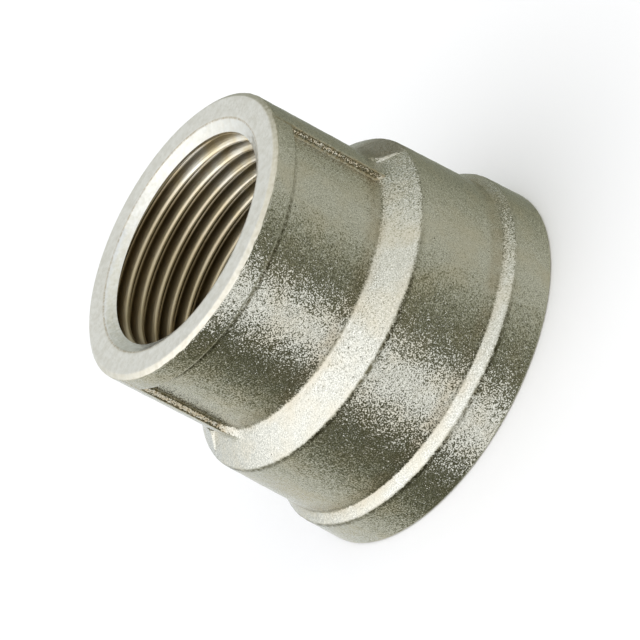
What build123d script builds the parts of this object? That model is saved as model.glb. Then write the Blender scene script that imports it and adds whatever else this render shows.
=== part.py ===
from build123d import *
import os
from math import radians, tan

# Reducing pipe coupling, one brass casting, machined and tapped from both ends.
# It stands on its large end: Z is the bore axis, the origin is the middle of the large face,
# and the two wrench ribs lie on +X and -X.

# Parallel pipe threads, G 1 1/4 in the large end and G 1 in the small end
thread_pitch = 2.309
thread_depth = 0.640327 * thread_pitch
small_thread_major_diameter = 33.249
thread_size_step = 8.661

# Bore depths and the plain core passage between them
large_bore_depth = 18.0
small_bore_depth = 17.0
stop_ledge_width = 0.95
passage_length = 2.0
large_seat_width = 2.6
runout_length = 1.6
runout_clearance = 0.15

# Metal outside the threads
hub_wall = 2.9
rim_step = 1.0
body_wall = 2.95
band_wall = 4.5

# Lengths along the axis
seat_wall = 1.9
shoulder_length = 3.4
bore_floor_rise = 0.7
rim_length = 3.4
band_length = 5.8
bead_length = 1.25

# Casting draft on the body and on the end band, in degrees
draft_angle = 1.3

# Wrench ribs, and the low ramp that they run up on the shoulder behind the parting line
rib_width = 12.0
ramp_height = 0.45
ramp_lead = 1.35
ramp_inset = 0.4
parting_turn = -3.8
parting_offset = -0.8

# Web of metal left in the corner between the -X rib's near wall and the shoulder
web_width = 1.4
web_rise = 1.7

# Machined and cast edges
mouth_chamfer_width = 0.7
mouth_chamfer_length = 0.5
base_chamfer = 0.25
countersink_width = 1.55
countersink_length = 1.0
seat_chamfer = 0.3
shoulder_round = 0.6
band_round = 0.4
bead_foot_round = 0.5
hub_foot_round = 0.35

# Radii that follow from the threads and the walls
large_thread_major_diameter = small_thread_major_diameter + thread_size_step
large_major = large_thread_major_diameter / 2
small_major = small_thread_major_diameter / 2
large_minor = large_major - thread_depth
small_minor = small_major - thread_depth
passage_radius = small_minor - stop_ledge_width
seat_radius = large_minor - large_seat_width
large_runout_radius = large_major + runout_clearance
small_runout_radius = small_major + runout_clearance
hub_radius = small_major + hub_wall
rim_radius = hub_radius + rim_step

# Heights above the large face
bead_height = band_length + bead_length
shoulder_edge_height = large_bore_depth + seat_wall
shoulder_foot_height = shoulder_edge_height + shoulder_length
small_bore_floor = shoulder_foot_height + bore_floor_rise
overall_length = small_bore_floor + small_bore_depth
rim_foot_height = overall_length - rim_length
web_top_height = shoulder_foot_height + web_rise
passage_floor = small_bore_floor - passage_length

# The body and the band widen towards the large face with the draft
draft = tan(radians(draft_angle))
body_top_radius = large_major + body_wall
body_foot_radius = body_top_radius + (shoulder_edge_height - bead_height) * draft
band_top_radius = large_major + band_wall
band_foot_radius = band_top_radius + band_length * draft

# Wide enough to cut right across the part
cutter_width = 4 * band_foot_radius


def corner_at(sketch, radius, height):
    """The profile's vertex nearest to a radius and a height."""
    return sketch.vertices().sort_by_distance((radius, height))[0]


# Low ramp on the shoulder, a little narrower than a rib and only behind the parting line
shoulder_slope = shoulder_length / (body_top_radius - hub_radius)
ramp_end_radius = body_top_radius - shoulder_round
ramp_end_height = shoulder_edge_height + shoulder_round * shoulder_slope
ramp_foot_height = shoulder_foot_height - rim_step * shoulder_slope
ramp_top_height = ramp_foot_height + ramp_lead
with BuildPart() as ramps:
    with BuildSketch(Plane.XZ):
        with BuildLine():
            Polyline(
                (small_runout_radius, shoulder_edge_height),
                (ramp_end_radius, shoulder_edge_height),
                (ramp_end_radius, ramp_end_height),
                (rim_radius + ramp_height, ramp_foot_height),
                (rim_radius, ramp_top_height),
                (small_runout_radius, ramp_top_height),
                close=True,
            )
        make_face()
    revolve(axis=Axis.Z)
    with BuildSketch(Plane.XY.offset(shoulder_edge_height)):
        Rectangle(cutter_width, rib_width - 2 * ramp_inset)
        with Locations((0, parting_offset)):
            Rectangle(
                cutter_width,
                cutter_width,
                rotation=parting_turn,
                align=(Align.CENTER, Align.MIN),
                mode=Mode.INTERSECT,
            )
    extrude(amount=ramp_top_height - shoulder_edge_height, mode=Mode.INTERSECT)

# The cast hollow between the ribs, round both sides of the hub, with a soft corner all along its floor
with BuildPart() as hub_relief:
    with BuildSketch(Plane.XZ):
        with BuildLine():
            Polyline(
                (hub_radius, shoulder_foot_height),
                (rim_radius, ramp_foot_height),
                (band_foot_radius, ramp_foot_height),
                (band_foot_radius, rim_foot_height),
                (hub_radius, rim_foot_height),
                close=True,
            )
        make_face()
    revolve(axis=Axis.Z)
    with BuildSketch(Plane.XY.offset(shoulder_edge_height)):
        Rectangle(cutter_width, rib_width)
    extrude(amount=overall_length, mode=Mode.SUBTRACT)
    floors = hub_relief.faces().filter_by(GeomType.CYLINDER).group_by(SortBy.RADIUS)[0]
    fillet(floors.edges(), radius=hub_foot_round)

    # The web stays where the hollow is cut short
    with BuildSketch(Plane.YZ):
        with BuildLine():
            Polyline(
                (0, shoulder_edge_height),
                (0, web_top_height),
                (-rib_width / 2, web_top_height),
                (-rib_width / 2 - web_width, shoulder_foot_height),
                (-rib_width / 2 - web_width, shoulder_edge_height),
                close=True,
            )
        make_face()
    extrude(amount=-band_foot_radius, mode=Mode.SUBTRACT)

with BuildPart() as coupling_body:
    # Outside of the casting: band, bead, drafted body, shoulder, and the rim's turned radius above it
    with BuildSketch(Plane.XZ) as outside:
        with BuildLine():
            Polyline(
                (0, 0),
                (band_foot_radius - base_chamfer, 0),
                (band_foot_radius, base_chamfer),
                (band_top_radius, band_length),
                (body_foot_radius, bead_height),
                (body_top_radius, shoulder_edge_height),
                (rim_radius, ramp_foot_height),
                (rim_radius, overall_length - mouth_chamfer_length),
                (rim_radius - mouth_chamfer_width, overall_length),
                (0, overall_length),
                close=True,
            )
        make_face()
        fillet(corner_at(outside, band_top_radius, band_length), radius=band_round)
        fillet(corner_at(outside, body_foot_radius, bead_height), radius=bead_foot_round)
        fillet(corner_at(outside, body_top_radius, shoulder_edge_height), radius=shoulder_round)
    revolve(axis=Axis.Z)
    add(ramps.part)

    # What is left of that radius on the hub is the rim and the two wrench ribs
    add(hub_relief.part, mode=Mode.SUBTRACT)

    # Bores from both faces: countersink, tapped wall, run-out groove, then the plain passage
    with BuildSketch(Plane.XZ) as bores:
        with BuildLine():
            Polyline(
                (0, 0),
                (large_minor + countersink_width, 0),
                (large_minor, countersink_length),
                (large_minor, large_bore_depth - runout_length),
                (large_runout_radius, large_bore_depth - runout_length),
                (large_runout_radius, large_bore_depth),
                (seat_radius, large_bore_depth),
                (passage_radius, passage_floor),
                (passage_radius, small_bore_floor - seat_chamfer),
                (passage_radius + seat_chamfer, small_bore_floor),
                (small_runout_radius, small_bore_floor),
                (small_runout_radius, small_bore_floor + runout_length),
                (small_minor, small_bore_floor + runout_length),
                (small_minor, overall_length - countersink_length),
                (small_minor + countersink_width, overall_length),
                (0, overall_length),
                close=True,
            )
        make_face()
    revolve(axis=Axis.Z, mode=Mode.SUBTRACT)

coupling_body.part.label = "coupling_body"
os.makedirs("parts", exist_ok=True)
export_step(coupling_body.part, "parts/coupling_body.step")
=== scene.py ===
import bmesh
import bpy
from math import asin, ceil, cos, exp, hypot, pi, radians, sin, tan
from mathutils import Matrix, Vector


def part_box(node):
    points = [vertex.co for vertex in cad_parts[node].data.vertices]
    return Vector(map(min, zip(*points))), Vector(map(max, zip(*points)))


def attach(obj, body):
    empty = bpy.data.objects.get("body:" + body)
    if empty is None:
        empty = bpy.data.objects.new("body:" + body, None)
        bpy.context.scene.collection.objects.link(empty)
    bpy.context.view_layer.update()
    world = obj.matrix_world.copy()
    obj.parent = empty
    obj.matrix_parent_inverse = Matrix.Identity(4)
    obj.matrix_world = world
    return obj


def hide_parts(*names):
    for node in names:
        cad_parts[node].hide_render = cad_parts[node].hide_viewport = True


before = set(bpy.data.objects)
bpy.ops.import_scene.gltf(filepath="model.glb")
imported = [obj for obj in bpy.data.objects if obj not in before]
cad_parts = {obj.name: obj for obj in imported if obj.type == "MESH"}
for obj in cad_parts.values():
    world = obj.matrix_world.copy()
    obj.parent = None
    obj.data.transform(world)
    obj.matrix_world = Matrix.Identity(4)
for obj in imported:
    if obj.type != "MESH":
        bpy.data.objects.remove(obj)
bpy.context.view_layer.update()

# The outside of the coupling is one sand casting in brass. From the large end it has a heavy band with a
# bead, the drafted body, a sloping shoulder, and the hub, whose rim and two wrench ribs stand at one radius.
# It is drawn as half a section, turned about the bore's axis, and hollowed round the hub between the ribs.
MM = 0.001
HAIR = 0.002 * MM
low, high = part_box("coupling_body")
overall_length = high.z
band_foot_radius = high.x
band_top_radius = 25.455 * MM
band_length = 5.8 * MM
bead_length = 1.25 * MM
body_foot_radius = 24.196 * MM
body_top_radius = 23.905 * MM
shoulder_edge_height = 19.9 * MM
shoulder_length = 3.4 * MM
hub_radius = 19.5245 * MM
rim_step = 1.0 * MM
rim_length = 3.4 * MM
rib_width = 12.0 * MM
mouth_chamfer = (0.7 * MM, 0.5 * MM)
base_chamfer = 0.25 * MM
mouth_face_inner_radius = 17.2 * MM
base_face_inner_radius = 21.6 * MM

shoulder_round = 0.6 * MM
band_round = 0.4 * MM
bead_foot_round = 0.5 * MM
hub_foot_round = 0.35 * MM
cast_edge_round = 0.27 * MM
turned_edge_round = 0.07 * MM

bead_height = band_length + bead_length
rim_radius = hub_radius + rim_step
rim_foot_height = overall_length - rim_length
shoulder_slope = shoulder_length / (body_top_radius - hub_radius)
shoulder_foot_height = shoulder_edge_height + shoulder_length
rib_foot_height = shoulder_foot_height - rim_step * shoulder_slope
rib_half_turn = asin(rib_width / 2 / rim_radius)
row_spacing = 1.55 * MM
rib_steps = 18
side_steps = 76


def radius_of(place):
    return hypot(place.x, place.y)


def pick(domain, test):
    """In edit mode, selects the verts, edges or faces that pass a test."""
    bpy.ops.mesh.select_all(action="DESELECT")
    bpy.ops.mesh.select_mode(type={"verts": "VERT", "edges": "EDGE", "faces": "FACE"}[domain])
    mesh = bmesh.from_edit_mesh(bpy.context.object.data)
    for element in getattr(mesh, domain):
        if not element.hide and test(element):
            element.select_set(True)
    bmesh.update_edit_mesh(bpy.context.object.data)


def draw_section(name, corners):
    """A wire in the XZ plane through corners of (radius, height), left in edit mode."""
    bpy.ops.object.select_all(action="DESELECT")
    radius, height = corners[0]
    bpy.ops.mesh.primitive_plane_add(size=MM, location=(radius, 0, height))
    wire = bpy.context.object
    wire.name = wire.data.name = name
    bpy.ops.object.transform_apply(location=True, rotation=True, scale=True)
    bpy.ops.object.mode_set(mode="EDIT")
    bpy.ops.mesh.select_mode(type="VERT")
    bpy.ops.mesh.select_all(action="SELECT")
    bpy.ops.mesh.merge(type="CENTER")
    for next_radius, next_height in corners[1:]:
        step = (next_radius - radius, 0, next_height - height)
        bpy.ops.mesh.extrude_vertices_move(TRANSFORM_OT_translate={"value": step})
        radius, height = next_radius, next_height
    return wire


def round_corner(radius, height, rounding, segments):
    """Turns one corner of a wire into an arc of the given radius."""
    corner = Vector((radius, 0, height))
    pick("verts", lambda v: (v.co - corner).length < HAIR)
    mesh = bmesh.from_edit_mesh(bpy.context.object.data)
    ends = [e.other_vert(v).co - v.co for v in mesh.verts if v.select for e in v.link_edges]
    offset = rounding / tan(ends[0].angle(ends[1]) / 2)
    bpy.ops.mesh.bevel(affect="VERTICES", offset=offset, segments=segments, profile=0.5)


def divide_rows(spacing):
    """Divides the long edges of a wire until none is longer than the spacing."""
    while True:
        mesh = bmesh.from_edit_mesh(bpy.context.object.data)
        longest = max(e.calc_length() for e in mesh.edges)
        if longest <= spacing:
            return
        pick("edges", lambda e: e.calc_length() > longest - HAIR)
        bpy.ops.mesh.subdivide(number_cuts=ceil(longest / spacing) - 1)


casting = draw_section("coupling_casting", [
    (mouth_face_inner_radius, overall_length),
    (rim_radius - mouth_chamfer[0], overall_length),
    (rim_radius, overall_length - mouth_chamfer[1]),
    (rim_radius, rim_foot_height),
    (rim_radius, rib_foot_height),
    (body_top_radius, shoulder_edge_height),
    (body_foot_radius, bead_height),
    (band_top_radius, band_length),
    (band_foot_radius, base_chamfer),
    (band_foot_radius - base_chamfer, 0),
    (base_face_inner_radius, 0),
])
round_corner(rim_radius - mouth_chamfer[0], overall_length, turned_edge_round, 1)
round_corner(rim_radius, overall_length - mouth_chamfer[1], turned_edge_round, 1)
round_corner(body_top_radius, shoulder_edge_height, shoulder_round, 3)
round_corner(body_foot_radius, bead_height, bead_foot_round, 3)
round_corner(band_top_radius, band_length, band_round, 3)
round_corner(band_foot_radius, base_chamfer, turned_edge_round, 1)
round_corner(band_foot_radius - base_chamfer, 0, turned_edge_round, 1)
divide_rows(row_spacing)
bpy.ops.mesh.select_all(action="SELECT")
bpy.ops.transform.rotate(value=-rib_half_turn, orient_axis="Z", center_override=(0, 0, 0))
for turn, steps in ((2 * rib_half_turn, rib_steps), (pi - 2 * rib_half_turn, side_steps)) * 2:
    bpy.ops.mesh.spin(steps=steps, angle=turn, center=(0, 0, 0), axis=(0, 0, 1))
bpy.ops.mesh.select_all(action="SELECT")
bpy.ops.mesh.remove_doubles(threshold=HAIR)
bpy.ops.mesh.normals_make_consistent(inside=False)


# Round the hub between the ribs the blank is hollowed by the rim's step. The rib walls are parallel, and
# the shoulder's slope runs on to the hub.
def beside_ribs(place):
    return abs(place.y) > rib_width / 2 and rib_foot_height < place.z < rim_foot_height


def on_hub(vert):
    return abs(radius_of(vert.co) - hub_radius) < HAIR and rib_foot_height - HAIR < vert.co.z


pick("faces", lambda f: beside_ribs(f.calc_center_median()))
bpy.ops.mesh.extrude_region_move()
hollowing = hub_radius / rim_radius
bpy.ops.transform.resize(value=(hollowing, hollowing, 1), center_override=(0, 0, 0))
corner_now = Vector((cos(rib_half_turn), sin(rib_half_turn))) * hub_radius
corner_true = Vector(((hub_radius ** 2 - (rib_width / 2) ** 2) ** 0.5, rib_width / 2))
shift = corner_true - corner_now
for side_x in (-1, 1):
    for side_y in (-1, 1):
        corner = Vector((corner_now.x * side_x, corner_now.y * side_y))
        pick("verts", lambda v: (v.co.xy - corner).length < HAIR and v.co.z < rim_foot_height + HAIR)
        bpy.ops.transform.translate(value=(shift.x * side_x, shift.y * side_y, 0))
pick("verts", lambda v: on_hub(v) and v.co.z < rib_foot_height + HAIR)
bpy.ops.transform.translate(value=(0, 0, shoulder_foot_height - rib_foot_height))

# A web of metal is left in the corner between the -X rib's near wall and the shoulder. It rises along the
# rib's wall from the shoulder, and the shoulder's own slope ends in it.
web_width = 1.4 * MM
web_rise = 1.7 * MM
web_skirt = 0.05 * MM


def beside_web(place):
    near = -rib_width / 2 - web_width - row_spacing
    return place.x < 0 and near < place.y < -rib_width / 2 + row_spacing


def below_rib_foot(face):
    place = face.calc_center_median()
    return beside_web(place) and shoulder_edge_height < place.z < rib_foot_height


pick("faces", below_rib_foot)
skirt_place = (0, 0, rib_foot_height - web_skirt)
bpy.ops.mesh.bisect(plane_co=skirt_place, plane_no=(0, 0, 1), threshold=HAIR / 100)
mesh = bmesh.from_edit_mesh(casting.data)
for vert in mesh.verts:
    away = (-vert.co.y - rib_width / 2) / web_width
    reach = radius_of(vert.co)
    if beside_web(vert.co) and -HAIR / web_width < away < 1 and hub_radius - HAIR < reach < rim_radius + HAIR:
        floor_height = shoulder_foot_height - (reach - hub_radius) * shoulder_slope * away
        web_height = floor_height + web_rise * (1 - away) ** 2
        if rib_foot_height - HAIR < vert.co.z < web_height:
            vert.co.z = web_height
bmesh.update_edit_mesh(casting.data)
bpy.ops.mesh.select_all(action="SELECT")
bpy.ops.mesh.remove_doubles(threshold=HAIR)
pick("faces", lambda f: all(on_hub(v) for v in f.verts))
bpy.ops.mesh.region_to_loop()
bpy.ops.mesh.bevel(offset=hub_foot_round, segments=2, affect="EDGES")


def on_rim_edge(edge):
    """The outer corners of the ribs and of the rim's foot."""
    if any(abs(radius_of(v.co) - rim_radius) > HAIR for v in edge.verts):
        return False
    place = (edge.verts[0].co + edge.verts[1].co) / 2
    along_rib = abs(abs(place.y) - rib_width / 2) < HAIR and rib_foot_height < place.z < rim_foot_height
    along_rim = abs(place.z - rim_foot_height) < HAIR and abs(place.y) > rib_width / 2
    return along_rib or along_rim


def runs_down(edge):
    """A long edge that lies in a plane through the axis."""
    start, end = (vert.co for vert in edge.verts)
    around = Vector((-start.y, start.x, 0)).normalized()
    return edge.calc_length() > row_spacing / 2 and abs((end - start).normalized().dot(around)) < 0.2


pick("edges", on_rim_edge)
bpy.ops.mesh.bevel(offset=cast_edge_round, segments=2, affect="EDGES")
pick("edges", runs_down)
bpy.ops.mesh.subdivide(number_cuts=1)
bpy.ops.object.mode_set(mode="OBJECT")
smoothing = casting.modifiers.new("smoothing", "SUBSURF")
smoothing.levels = smoothing.render_levels = 1
bpy.ops.object.modifier_apply(modifier=smoothing.name)

# Behind the mould's parting line each rib runs up a low ramp on the shoulder. The parting line crosses the
# ribs askew, so the ramp's near side is a narrow slope along it with a little flash on top, and its far wall
# stands just inside the rib's.
ramp_height = 0.45 * MM
ramp_lead = 1.35 * MM
ramp_inset = 0.4 * MM
flash_width = 0.28 * MM
flash_height = 0.16 * MM
parting_turn = radians(-3.8)
parting_offset = -0.8 * MM
ramp_start = shoulder_edge_height + shoulder_round * shoulder_slope
ramp_end = rib_foot_height + ramp_lead
parting_normal = Vector((-sin(parting_turn), cos(parting_turn), 0))
parting_place = Vector((0, parting_offset, 0))
far_wall = rib_width / 2 - ramp_inset


def on_ramp(place):
    behind = (place - parting_place).dot(parting_normal) > 0 and place.y < far_wall
    return behind and ramp_start < place.z < ramp_end and radius_of(place) > hub_radius


bpy.ops.object.mode_set(mode="EDIT")
for wall_place, wall_normal in (
    (parting_place, parting_normal),
    (parting_place + parting_normal * flash_width, parting_normal),
    (parting_place + parting_normal * flash_width * 2, parting_normal),
    ((0, far_wall, 0), (0, 1, 0)),
):
    pick("faces", lambda f: ramp_start < f.calc_center_median().z < ramp_end)
    bpy.ops.mesh.bisect(plane_co=wall_place, plane_no=wall_normal, threshold=HAIR / 100)
pick("faces", lambda f: on_ramp(f.calc_center_median()))
bpy.ops.mesh.extrude_region_move()
mesh = bmesh.from_edit_mesh(casting.data)
for vert in mesh.verts:
    if vert.select:
        rise = (vert.co.z - ramp_start) / (rib_foot_height - ramp_start)
        fall = (ramp_end - vert.co.z) / ramp_lead
        behind = (vert.co - parting_place).dot(parting_normal) / flash_width
        flash = flash_height * max(0, 1 - abs(behind - 1)) * min(1, 4 * rise, 4 * fall)
        height = ramp_height * min(rise, fall) * min(1, behind)
        vert.co.xy += vert.co.xy.normalized() * max(0, height + flash)
bmesh.update_edit_mesh(casting.data)
bpy.ops.mesh.select_all(action="SELECT")
bpy.ops.mesh.remove_doubles(threshold=HAIR)
bpy.ops.object.mode_set(mode="OBJECT")

# The sand leaves the skin a little uneven. It is dull nickel over fine grains that each face their own way
# and sparkle, with a dark pit here and there. Where the slopes meet the walls it is stained brown, with
# painted shade over the staining; painted shade also runs in dark lines under the edges and in the corners,
# and darkens the shoulder behind the parting line's flash.
swell_size = 1.3 * MM
swell_depth = 0.1 * MM
swell_level = 0.8
cast_colour = (0.75, 0.75, 0.71, 1)
dull_colour = (0.52, 0.52, 0.485, 1)
patch_colour = (0.65, 0.62, 0.54, 1)
# Brown staining, also used as painted shade in the corners where the slopes meet the walls
brown_stain_and_shade = (0.47, 0.40, 0.29, 1)
# Painted shade for dark lines under edges and in corners
painted_shade_line = (0.16, 0.15, 0.10, 1)
# Painted shade for the shoulder behind the parting line's flash
painted_shade_behind_flash = (0.30, 0.26, 0.20, 1)
pit_colour = (0.12, 0.11, 0.08, 1)
cast_roughness = 0.22
grain_size = 0.2 * MM
grain_tilt = 1.15
pit_spacing = 2.4 * MM
pit_radius = 0.13 * MM

# Each ring is broken and runs round a corner: its radius, height, reach, strength and colour. The brown
# rings are staining with painted shade over it. The dark lines are painted shade, weak on the +X side.
corner_stains_and_shade = [
    (hub_radius, shoulder_foot_height + 0.7 * MM, 1.7 * MM, 0.5, brown_stain_and_shade),
    (body_foot_radius, bead_height + 0.7 * MM, 1.7 * MM, 0.5, brown_stain_and_shade),
]
# Dark lines of painted shade under the edges and in the corners
shade_lines = [
    (hub_radius, shoulder_foot_height + 0.2 * MM, 0.35 * MM, 0.6, painted_shade_line),
    (body_foot_radius, bead_height + 0.25 * MM, 0.35 * MM, 0.5, painted_shade_line),
    (body_top_radius, shoulder_edge_height - 0.3 * MM, 0.5 * MM, 1.0, painted_shade_line),
    (band_top_radius, band_length - 0.25 * MM, 0.5 * MM, 0.95, painted_shade_line),
    (hub_radius, rim_foot_height - 0.6 * MM, 0.4 * MM, 0.95, painted_shade_line),
]
shade_line_fade = (8 * MM, 18 * MM)
faded_shade_line = 0.15
# Where the painted shade behind the flash lies, how far it reaches and how strong it is
flash_shade_place = (21.8 * MM, 2.6 * MM, 21.6 * MM)
flash_shade_reach = (3.5 * MM, 7 * MM)
flash_shade_strength = 0.75
patch_size = 5 * MM
wall_stain_size = 0.6 * MM

on_skin = [
    vert.index for vert in casting.data.vertices
    if base_chamfer + HAIR < vert.co.z < overall_length - mouth_chamfer[1] - HAIR
]
casting.vertex_groups.new(name="cast_skin").add(on_skin, 1.0, "REPLACE")
sand = bpy.data.textures.new("sand", "CLOUDS")
sand.noise_scale = swell_size
swell = casting.modifiers.new("swell", "DISPLACE")
swell.texture = sand
swell.vertex_group = "cast_skin"
swell.strength = swell_depth
swell.mid_level = swell_level
bpy.ops.object.modifier_apply(modifier=swell.name)


def feed(tree, socket, value):
    """Links a socket to another node, or sets its value."""
    if isinstance(value, bpy.types.NodeSocket):
        tree.links.new(value, socket)
    else:
        socket.default_value = value


def add_node(tree, kind, inputs=(), **settings):
    """A shader node with its settings and its named inputs."""
    made = tree.nodes.new(kind)
    for name, value in settings.items():
        setattr(made, name, value)
    for name, value in dict(inputs).items():
        feed(tree, made.inputs[name], value)
    return made


def add_math(tree, operation, *values):
    made = add_node(tree, "ShaderNodeMath", operation=operation)
    for socket, value in zip(made.inputs, values):
        feed(tree, socket, value)
    return made.outputs["Value"]


def add_vector(tree, operation, *values):
    made = add_node(tree, "ShaderNodeVectorMath", operation=operation)
    for socket, value in zip(made.inputs, values):
        feed(tree, socket, value)
    is_number = operation in ("LENGTH", "DISTANCE", "DOT_PRODUCT")
    return made.outputs["Value" if is_number else "Vector"]


def add_range(tree, value, low, high, to_low=0.0, to_high=1.0):
    inputs = {"Value": value, "From Min": low, "From Max": high, "To Min": to_low, "To Max": to_high}
    return add_node(tree, "ShaderNodeMapRange", inputs).outputs["Result"]


def add_mix(tree, share, first, second):
    """A colour that passes from the first to the second as the share goes from 0 to 1."""
    made = add_node(tree, "ShaderNodeMix", data_type="RGBA")
    colours = [socket for socket in made.inputs if socket.type == "RGBA"]
    for socket, value in zip([made.inputs["Factor"], *colours], (share, first, second)):
        feed(tree, socket, value)
    return next(socket for socket in made.outputs if socket.type == "RGBA")


def add_noise(tree, pattern, size, detail=1.0):
    """Noise from 0 to 1 with features of about the given size."""
    inputs = {"Vector": pattern, "Scale": 1 / size, "Detail": detail}
    return add_node(tree, "ShaderNodeTexNoise", inputs).outputs["Fac"]


def add_profile(tree, place):
    """A place's radius and height, as X and Y."""
    radius = add_vector(tree, "LENGTH", add_vector(tree, "MULTIPLY", place, (1, 1, 0)))
    height = add_node(tree, "ShaderNodeSeparateXYZ", {"Vector": place}).outputs["Z"]
    return add_node(tree, "ShaderNodeCombineXYZ", {"X": radius, "Y": height}).outputs["Vector"]


def tilt_grains(tree, normal, pattern, size, tilt):
    """A normal that leans its own way in each grain of a pattern."""
    inputs = {"Vector": pattern, "Scale": 1 / size, "Detail": 1.0}
    lean = add_node(tree, "ShaderNodeTexNoise", inputs).outputs["Color"]
    lean = add_vector(tree, "SUBTRACT", lean, (0.5, 0.5, 0.5))
    leaning = add_vector(tree, "MULTIPLY_ADD", lean, (tilt, tilt, tilt), normal)
    return add_vector(tree, "NORMALIZE", leaning)


def start_metal(name):
    """A new metal, with its shader, the place on the piece and the surface's normal."""
    finish = bpy.data.materials.new(name)
    finish.use_nodes = True
    tree = finish.node_tree
    shader = tree.nodes["Principled BSDF"]
    shader.inputs["Metallic"].default_value = 1
    place = add_node(tree, "ShaderNodeTexCoord").outputs["Object"]
    normal = add_node(tree, "ShaderNodeNewGeometry").outputs["Normal"]
    return finish, tree, shader, place, normal


def add_stain_and_shade_rings(tree, place, colour, ring_table, share=1.0):
    """A colour with broken rings of staining and painted shade, each at the given share of its strength."""
    profile = add_profile(tree, place)
    for radius, height, reach, strength, ring_colour in ring_table:
        away = add_vector(tree, "DISTANCE", profile, (radius, height, 0))
        patchy = add_noise(tree, place, 1.6 * reach, 3.0)
        broken = add_range(tree, patchy, 0.35, 0.6, 0.25 * strength, strength)
        ring_share = add_math(tree, "MULTIPLY", add_range(tree, away, 0.3 * reach, reach, 1.0, 0.0), broken)
        colour = add_mix(tree, add_math(tree, "MULTIPLY", ring_share, share), colour, ring_colour)
    return colour


def add_rib_walls(tree, place):
    """1 on the walls of the ribs, and 0 elsewhere."""
    across = add_node(tree, "ShaderNodeSeparateXYZ", {"Vector": place}).outputs["Y"]
    across = add_math(tree, "SUBTRACT", add_math(tree, "ABSOLUTE", across), rib_width / 2)
    on_wall = add_range(tree, add_math(tree, "ABSOLUTE", across), 0.15 * MM, 0.35 * MM, 1.0, 0.0)
    radius = add_node(tree, "ShaderNodeSeparateXYZ", {"Vector": add_profile(tree, place)}).outputs["X"]
    return add_math(tree, "MULTIPLY", on_wall, add_math(tree, "LESS_THAN", radius, rim_radius))


cast_finish, tree, shader, place, normal = start_metal("sand_cast_nickel")
shader.inputs["Roughness"].default_value = cast_roughness
feed(tree, shader.inputs["Normal"], tilt_grains(tree, normal, place, grain_size, grain_tilt))
dulled = add_range(tree, add_noise(tree, place, 0.8 * grain_size), 0.35, 0.65)
colour = add_mix(tree, dulled, cast_colour, dull_colour)
patches = add_range(tree, add_noise(tree, place, patch_size, 3.0), 0.45, 0.72)
colour = add_mix(tree, patches, colour, patch_colour)
# Brown staining with painted shade over it round the corners where the slopes meet the walls
colour = add_stain_and_shade_rings(tree, place, colour, corner_stains_and_shade)
# Dark lines of painted shade under the edges and in the corners, weak on the +X side
side = add_node(tree, "ShaderNodeSeparateXYZ", {"Vector": place}).outputs["X"]
shade_lines_left = add_range(tree, side, *shade_line_fade, 1.0, faded_shade_line)
colour = add_stain_and_shade_rings(tree, place, colour, shade_lines, shade_lines_left)
wall_stain = add_range(tree, add_noise(tree, place, wall_stain_size, 3.0), 0.35, 0.6, 0.3, 1.0)
wall_stain = add_math(tree, "MULTIPLY", wall_stain, add_rib_walls(tree, place))
colour = add_mix(tree, wall_stain, colour, brown_stain_and_shade)
# Painted shade on the shoulder behind the parting line's flash, near the +X rib
past_parting = add_vector(tree, "DOT_PRODUCT", place, parting_normal)
parting_distance = parting_place.dot(parting_normal)
behind = add_range(tree, past_parting, parting_distance, parting_distance + flash_width, 0.0, flash_shade_strength)
near = add_range(tree, add_vector(tree, "DISTANCE", place, flash_shade_place), *flash_shade_reach, 1.0, 0.0)
colour = add_mix(tree, add_math(tree, "MULTIPLY", behind, near), colour, painted_shade_behind_flash)
scattered = {"Vector": place, "Scale": 1 / pit_spacing}
from_pit = add_node(tree, "ShaderNodeTexVoronoi", scattered).outputs["Distance"]
pits = add_range(tree, from_pit, 0.6 * pit_radius / pit_spacing, pit_radius / pit_spacing, 1.0, 0.0)
feed(tree, shader.inputs["Base Color"], add_mix(tree, pits, colour, pit_colour))
casting.data.materials.append(cast_finish)

# Between the two bores lies the plain passage that the casting's core leaves. At the end of each thread a
# groove is cut a little deeper than the thread, so that the tap runs out in it.
thread_pitch = 2.309 * MM
thread_depth = 0.640327 * thread_pitch
large_thread_radius = 41.910 * MM / 2
small_thread_radius = 33.249 * MM / 2
large_bore_depth = 18.0 * MM
small_bore_depth = 17.0 * MM
runout_length = 1.6 * MM
runout_clearance = 0.15 * MM
stop_ledge_width = 0.95 * MM
large_seat_width = 2.6 * MM
passage_length = 2.0 * MM
seat_chamfer = 0.3 * MM
small_bore_floor = overall_length - small_bore_depth
passage_radius = small_thread_radius - thread_depth - stop_ledge_width
passage_steps = 144

passage = draw_section("passage", [
    (large_thread_radius + runout_clearance, large_bore_depth - runout_length / 2),
    (large_thread_radius + runout_clearance, large_bore_depth),
    (large_thread_radius - thread_depth - large_seat_width, large_bore_depth),
    (passage_radius, small_bore_floor - passage_length),
    (passage_radius, small_bore_floor - seat_chamfer),
    (passage_radius + seat_chamfer, small_bore_floor),
    (small_thread_radius + runout_clearance, small_bore_floor),
    (small_thread_radius + runout_clearance, small_bore_floor + runout_length / 2),
])
divide_rows(row_spacing)
bpy.ops.mesh.select_all(action="SELECT")
bpy.ops.mesh.spin(steps=passage_steps, angle=2 * pi, center=(0, 0, 0), axis=(0, 0, 1))
bpy.ops.mesh.select_all(action="SELECT")
bpy.ops.mesh.remove_doubles(threshold=HAIR)
bpy.ops.object.mode_set(mode="OBJECT")
passage.data.materials.append(cast_finish)

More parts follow.
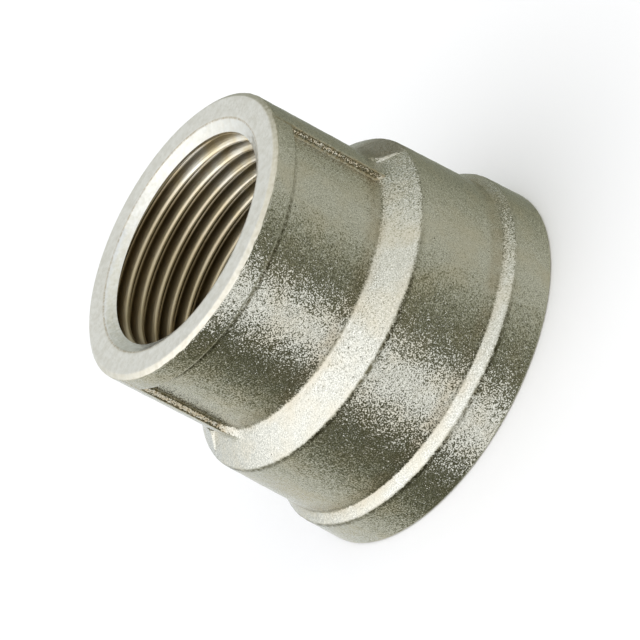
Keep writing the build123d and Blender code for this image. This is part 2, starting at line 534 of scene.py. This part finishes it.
# The faces, chamfers and countersinks are turned bright. The tool leaves fine rings round the axis, and the
# plating over them is faintly mottled.
faced_colours = ((0.74, 0.715, 0.65, 1), (0.66, 0.63, 0.555, 1))
countersunk_colours = ((0.77, 0.77, 0.75, 1), (0.72, 0.71, 0.67, 1))
countersink = (1.55 * MM, 1.0 * MM)
countersink_stains = [
    (small_thread_radius - thread_depth + countersink[0], overall_length, 0.22 * MM, 0.9, brown_stain_and_shade),
    (large_thread_radius - thread_depth + countersink[0], 0, 0.22 * MM, 0.9, brown_stain_and_shade),
]
turned_roughness = 0.28
ring_size = 0.1 * MM
ring_tilt = 0.2
mottle_size = 0.9 * MM


def turned_metal(name, clean_colour, mottled_colour):
    finish, tree, shader, place, normal = start_metal(name)
    shader.inputs["Roughness"].default_value = turned_roughness
    ringed = tilt_grains(tree, normal, add_profile(tree, place), ring_size, ring_tilt)
    feed(tree, shader.inputs["Normal"], tilt_grains(tree, ringed, place, mottle_size / 2, 0.3))
    mottle = add_range(tree, add_noise(tree, place, mottle_size, 4.0), 0.38, 0.66)
    colour = add_mix(tree, mottle, clean_colour, mottled_colour)
    feed(tree, shader.inputs["Base Color"], add_stain_and_shade_rings(tree, place, colour, countersink_stains))
    return finish


faced_finish = turned_metal("faced_nickel", *faced_colours)
countersunk_finish = turned_metal("countersunk_nickel", *countersunk_colours)

# Both ends are tapped with a right-hand parallel pipe thread. Its flanks stand at 55 degrees to each other,
# and its crests and roots are rounded. A countersink opens each mouth, and the thread starts at its foot.
# The plating is bright on the crests, and on the -X side it is thin and brown, with painted shade over it.
# Painted shade darkens the roots, most on the -X side.
sharp_height = 0.960491 * thread_pitch
thread_round = 0.137329 * thread_pitch
thread_lead = 0.7 * MM
thread_steps = 132
tapped_colour = (0.84, 0.82, 0.76, 1)
gilt_colour = (0.76, 0.67, 0.48, 1)
# Brown with painted shade, for the -X side of the threads
film_and_shade_colour = (0.46, 0.39, 0.27, 1)
# Painted shade for the roots of the threads
root_shade_colour = (0.22, 0.175, 0.105, 1)
tapped_roughness = 0.3
drag_size = 0.1 * MM
drag_tilt = 0.22
gilding_size = 3 * MM
film_and_shade_edge = (-1 * MM, 9 * MM)
film_and_shade_wander = 3 * MM
film_and_shade_wander_size = 6 * MM
film_and_shade_strength = 0.9

tapped_finish, tree, shader, place, normal = start_metal("tapped_nickel")
shader.inputs["Roughness"].default_value = tapped_roughness
profile = add_profile(tree, place)
dragged = tilt_grains(tree, normal, profile, drag_size, drag_tilt)
feed(tree, shader.inputs["Normal"], dragged)
gilding = add_range(tree, add_noise(tree, place, gilding_size, 3.0), 0.4, 0.62)
colour = add_mix(tree, gilding, tapped_colour, gilt_colour)
# The -X side of the threads turns brown and darker with painted shade
side = add_node(tree, "ShaderNodeSeparateXYZ", {"Vector": place}).outputs["X"]
wander = add_noise(tree, place, film_and_shade_wander_size, 2.0)
wander = add_range(tree, wander, 0.35, 0.65, -film_and_shade_wander, film_and_shade_wander)
film_and_shade = add_range(tree, add_math(tree, "ADD", side, wander), *film_and_shade_edge, 1.0, 0.0)
colour = add_mix(tree, add_math(tree, "MULTIPLY", film_and_shade, film_and_shade_strength), colour, film_and_shade_colour)
# Painted shade down in the roots, strongest on the -X side
cut_depth = add_node(tree, "ShaderNodeAttribute", attribute_name="cut_depth").outputs["Fac"]
film_and_shade = add_range(tree, film_and_shade, 0.0, 1.0, 0.4, 1.0)
shaded_roots = add_math(tree, "MULTIPLY", add_range(tree, cut_depth, 0.2, 0.75), film_and_shade)
feed(tree, shader.inputs["Base Color"], add_mix(tree, shaded_roots, colour, root_shade_colour))


def tapped_wall(name, thread_radius, mouth_height, inner_height):
    """A helical wall from a run-out groove to a mouth, opened out by the mouth's countersink."""
    crest_radius = thread_radius - thread_depth
    bottom = min(mouth_height, inner_height)
    top = max(mouth_height, inner_height)
    turns = ceil((top - bottom) / thread_pitch) + 3
    crest_tip = crest_radius - sharp_height / 6
    root_tip = thread_radius + sharp_height / 6
    start = bottom - 2 * thread_pitch
    corners = [(crest_tip, start)]
    for turn in range(turns):
        corners.append((root_tip, start + (turn + 0.5) * thread_pitch))
        corners.append((crest_tip, start + (turn + 1) * thread_pitch))
    wall = draw_section(name, corners)
    for radius, height in corners[1:-1]:
        round_corner(radius, height, thread_round, 4)
    bpy.ops.object.mode_set(mode="OBJECT")
    helix = wall.modifiers.new("helix", "SCREW")
    helix.axis = "Z"
    helix.angle = 2 * pi
    helix.screw_offset = thread_pitch
    helix.steps = helix.render_steps = thread_steps
    bpy.ops.object.modifier_apply(modifier=helix.name)
    bpy.ops.object.mode_set(mode="EDIT")
    bpy.ops.mesh.select_all(action="SELECT")
    bpy.ops.mesh.remove_doubles(threshold=HAIR)
    inwards = 1 if inner_height > mouth_height else -1
    cone_foot = mouth_height + countersink[1] * inwards
    for height, outwards, cuts_off in ((inner_height, inwards, True), (mouth_height, -inwards, True),
                                       (cone_foot, inwards, False)):
        bpy.ops.mesh.select_all(action="SELECT")
        plane = {"plane_co": (0, 0, height), "plane_no": (0, 0, outwards)}
        bpy.ops.mesh.bisect(**plane, clear_outer=cuts_off, threshold=HAIR / 100)
    mesh = bmesh.from_edit_mesh(wall.data)
    for vert in mesh.verts:
        past_cone = (vert.co.z - cone_foot) * inwards
        if past_cone < HAIR:
            new_radius = crest_radius - countersink[0] * min(0, past_cone / countersink[1])
        else:
            new_radius = crest_radius + (radius_of(vert.co) - crest_radius) * min(1, past_cone / thread_lead)
        vert.co.xy *= new_radius / radius_of(vert.co)
    wall.data.materials.append(tapped_finish)
    wall.data.materials.append(countersunk_finish)
    pick("faces", lambda f: (f.calc_center_median().z - cone_foot) * inwards < 0)
    wall.active_material_index = 1
    bpy.ops.object.material_slot_assign()
    pick("edges", lambda e: e.is_boundary and abs(e.verts[0].co.z - inner_height) < HAIR)
    bpy.ops.mesh.extrude_edges_move()
    mesh = bmesh.from_edit_mesh(wall.data)
    for vert in mesh.verts:
        if vert.select:
            vert.co.xy *= (thread_radius + runout_clearance) / radius_of(vert.co)
    bmesh.update_edit_mesh(wall.data)
    bpy.ops.object.mode_set(mode="OBJECT")
    depths = [(radius_of(vert.co) - crest_radius) / thread_depth for vert in wall.data.vertices]
    wall.data.attributes.new("cut_depth", "FLOAT", "POINT").data.foreach_set("value", depths)
    return wall


small_inner_end = small_bore_floor + runout_length
large_inner_end = large_bore_depth - runout_length
small_wall = tapped_wall("small_thread", small_thread_radius, overall_length, small_inner_end)
large_wall = tapped_wall("large_thread", large_thread_radius, 0, large_inner_end)


# The four walls are closed into one skin at the two end faces and at the two grooves. The real coupling is
# one piece, so they are one mesh.
def on_turned_end(face):
    place = face.calc_center_median()
    at_mouth = place.z > overall_length - mouth_chamfer[1] - HAIR
    at_base = place.z < base_chamfer + HAIR
    outside = radius_of(place) > (mouth_face_inner_radius if at_mouth else base_face_inner_radius) - HAIR
    is_level = abs(face.normal.z) > cos(radians(1))
    return (at_mouth or at_base) and (outside or is_level)


bpy.ops.object.select_all(action="DESELECT")
for wall in (small_wall, large_wall, passage, casting):
    wall.select_set(True)
bpy.context.view_layer.objects.active = casting
bpy.ops.object.join()
bpy.ops.object.mode_set(mode="EDIT")
for height, close_walls in (
    (0, bpy.ops.mesh.fill),
    (large_bore_depth - runout_length, bpy.ops.mesh.bridge_edge_loops),
    (small_bore_floor + runout_length, bpy.ops.mesh.bridge_edge_loops),
    (overall_length, bpy.ops.mesh.fill),
):
    pick("edges", lambda e: e.is_boundary and all(abs(v.co.z - height) < runout_length for v in e.verts))
    close_walls()
bpy.ops.mesh.select_all(action="SELECT")
bpy.ops.mesh.normals_make_consistent(inside=False)
pick("faces", on_turned_end)
casting.data.materials.append(faced_finish)
casting.active_material_index = len(casting.data.materials) - 1
bpy.ops.object.material_slot_assign()
bpy.ops.object.mode_set(mode="OBJECT")
casting.select_set(True)
bpy.ops.object.shade_smooth_by_angle(angle=radians(35))
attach(casting, "root")
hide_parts("coupling_body")

# The studio is a white sheet of paper in soft light. The light is strongest above and to the left, there is
# a pale wall all round at the horizon, and cards hang low round the coupling, which its sides mirror as
# bands. The metal mirrors the cards where the paper would hide them.
floor_size = 6.0
bpy.ops.object.select_all(action="DESELECT")
bpy.ops.mesh.primitive_plane_add(size=floor_size, location=(0, 0, 0))
floor = bpy.context.object
floor.name = "floor"
floor.visible_glossy = False
paper = bpy.data.materials.new("white_paper")
paper.use_nodes = True
paper_shader = paper.node_tree.nodes["Principled BSDF"]
paper_shader.inputs["Base Color"].default_value = (0.94, 0.94, 0.985, 1)
paper_shader.inputs["Roughness"].default_value = 1.0
paper_shader.inputs["Specular IOR Level"].default_value = 0.0
floor.data.materials.append(paper)

# Each card has a bearing in degrees, 0 in front and positive towards +X, and a tone, 1 for white
card_tones = [
    (-180, 1.1), (-160, 0.9), (-140, 0.77), (-120, 0.7), (-105, 0.56), (-90, 0.26), (-75, 0.1),
    (-45, 0.08), (-32, 0.12), (-26, 1.25), (0, 1.25), (4, 0.2), (15, 0.09), (35, 0.13), (50, 0.32),
    (80, 0.6), (100, 0.52), (120, 0.4), (140, 0.32), (160, 0.22), (179, 0.5),
]
# The pale wall at the horizon, by its bearing
wall_tones = [(-180, 0.7), (-160, 0.85), (-20, 0.85), (60, 0.7), (110, 0.5), (170, 0.5), (180, 0.7)]
# The soft light's tone, by the cosine of the angle from its middle
light_middle = Vector((-0.75, -0.433, 0.5))
light_tones = [
    (-1, 0.05), (-0.72, 0.09), (-0.65, 0.2), (-0.6, 0.38), (-0.5, 0.58), (-0.38, 0.72), (-0.24, 0.84),
    (-0.15, 0.92), (-0.1, 0.96), (0.06, 0.97), (0.16, 1.0), (0.3, 1.06), (0.4, 1.12), (0.52, 1.24),
    (0.67, 1.4), (0.8, 1.5), (1, 1.58),
]
# The light from behind is a little cooler
cool_tint = (0.95, 0.99, 1.1)
low_tone = 0.36
full_tone = 2.0


def tinted(tone):
    """A tone as a colour for a ramp: the darker it is, the warmer."""
    red = tone / full_tone
    return (red, red, red * (1 - 0.55 * exp(-tone / 0.5)), 1)


def add_ramp(tree, value, stops):
    made = add_node(tree, "ShaderNodeValToRGB", {"Fac": value})
    elements = made.color_ramp.elements
    while len(elements) < len(stops):
        elements.new(0.5)
    for element, (position, tone) in zip(elements, stops):
        element.position = position
        element.color = tinted(tone)
    return made.outputs["Color"]


def sine_range(tree, height, start, end):
    """0 below one elevation and 1 above another, both in degrees."""
    return add_range(tree, height, sin(radians(start)), sin(radians(end)))


world = bpy.data.worlds.new("studio")
bpy.context.scene.world = world
world.use_nodes = True
tree = world.node_tree
direction = add_node(tree, "ShaderNodeTexCoord").outputs["Generated"]
aim = add_node(tree, "ShaderNodeSeparateXYZ", {"Vector": direction})
bearing = add_math(tree, "ARCTAN2", aim.outputs["X"], add_math(tree, "MULTIPLY", aim.outputs["Y"], -1.0))
share = add_range(tree, bearing, -pi, pi)
cards = add_ramp(tree, share, [((bearing + 180) / 360, tone) for bearing, tone in card_tones])
wall = add_ramp(tree, share, [((bearing + 180) / 360, tone) for bearing, tone in wall_tones])
toward = add_vector(tree, "DOT_PRODUCT", direction, light_middle)
share = add_range(tree, toward, -1.0, 1.0)
light = add_ramp(tree, share, [((cosine + 1) / 2, tone) for cosine, tone in light_tones])
view = add_mix(tree, sine_range(tree, aim.outputs["Z"], -60, -42), tinted(low_tone), cards)
view = add_mix(tree, sine_range(tree, aim.outputs["Z"], -6, -1), view, wall)
view = add_mix(tree, sine_range(tree, aim.outputs["Z"], 4, 8), view, light)
from_behind = add_range(tree, add_math(tree, "ABSOLUTE", bearing), radians(130), radians(165))
view = add_mix(tree, from_behind, view, add_vector(tree, "MULTIPLY", view, cool_tint))
feed(tree, tree.nodes["Background"].inputs["Color"], view)
tree.nodes["Background"].inputs["Strength"].default_value = full_tone

# The camera looks down on the coupling, rolled so that its mouth points up and to the left
camera_azimuth = radians(4.758)
camera_elevation = radians(26.259)
camera_roll = radians(62.201)
camera_distance = 782.19 * MM
camera_aim = Vector((-1.2193, -1.3335, 18.0114)) * MM
camera = bpy.data.objects.new("camera", bpy.data.cameras.new("camera"))
bpy.context.scene.collection.objects.link(camera)
bpy.context.scene.camera = camera
camera.data.sensor_width = 36
camera.data.lens = 337.5
camera.data.clip_start = 0.05
camera.data.clip_end = 20
back = Vector((
    sin(camera_azimuth) * cos(camera_elevation),
    -cos(camera_azimuth) * cos(camera_elevation),
    sin(camera_elevation),
))
level = (-back).to_track_quat("-Z", "Y").to_matrix()
rolled = level @ Matrix.Rotation(-camera_roll, 3, "Z")
camera.matrix_world = Matrix.Translation(camera_aim + back * camera_distance) @ rolled.to_4x4()
bpy.context.scene.view_settings.view_transform = "Standard"
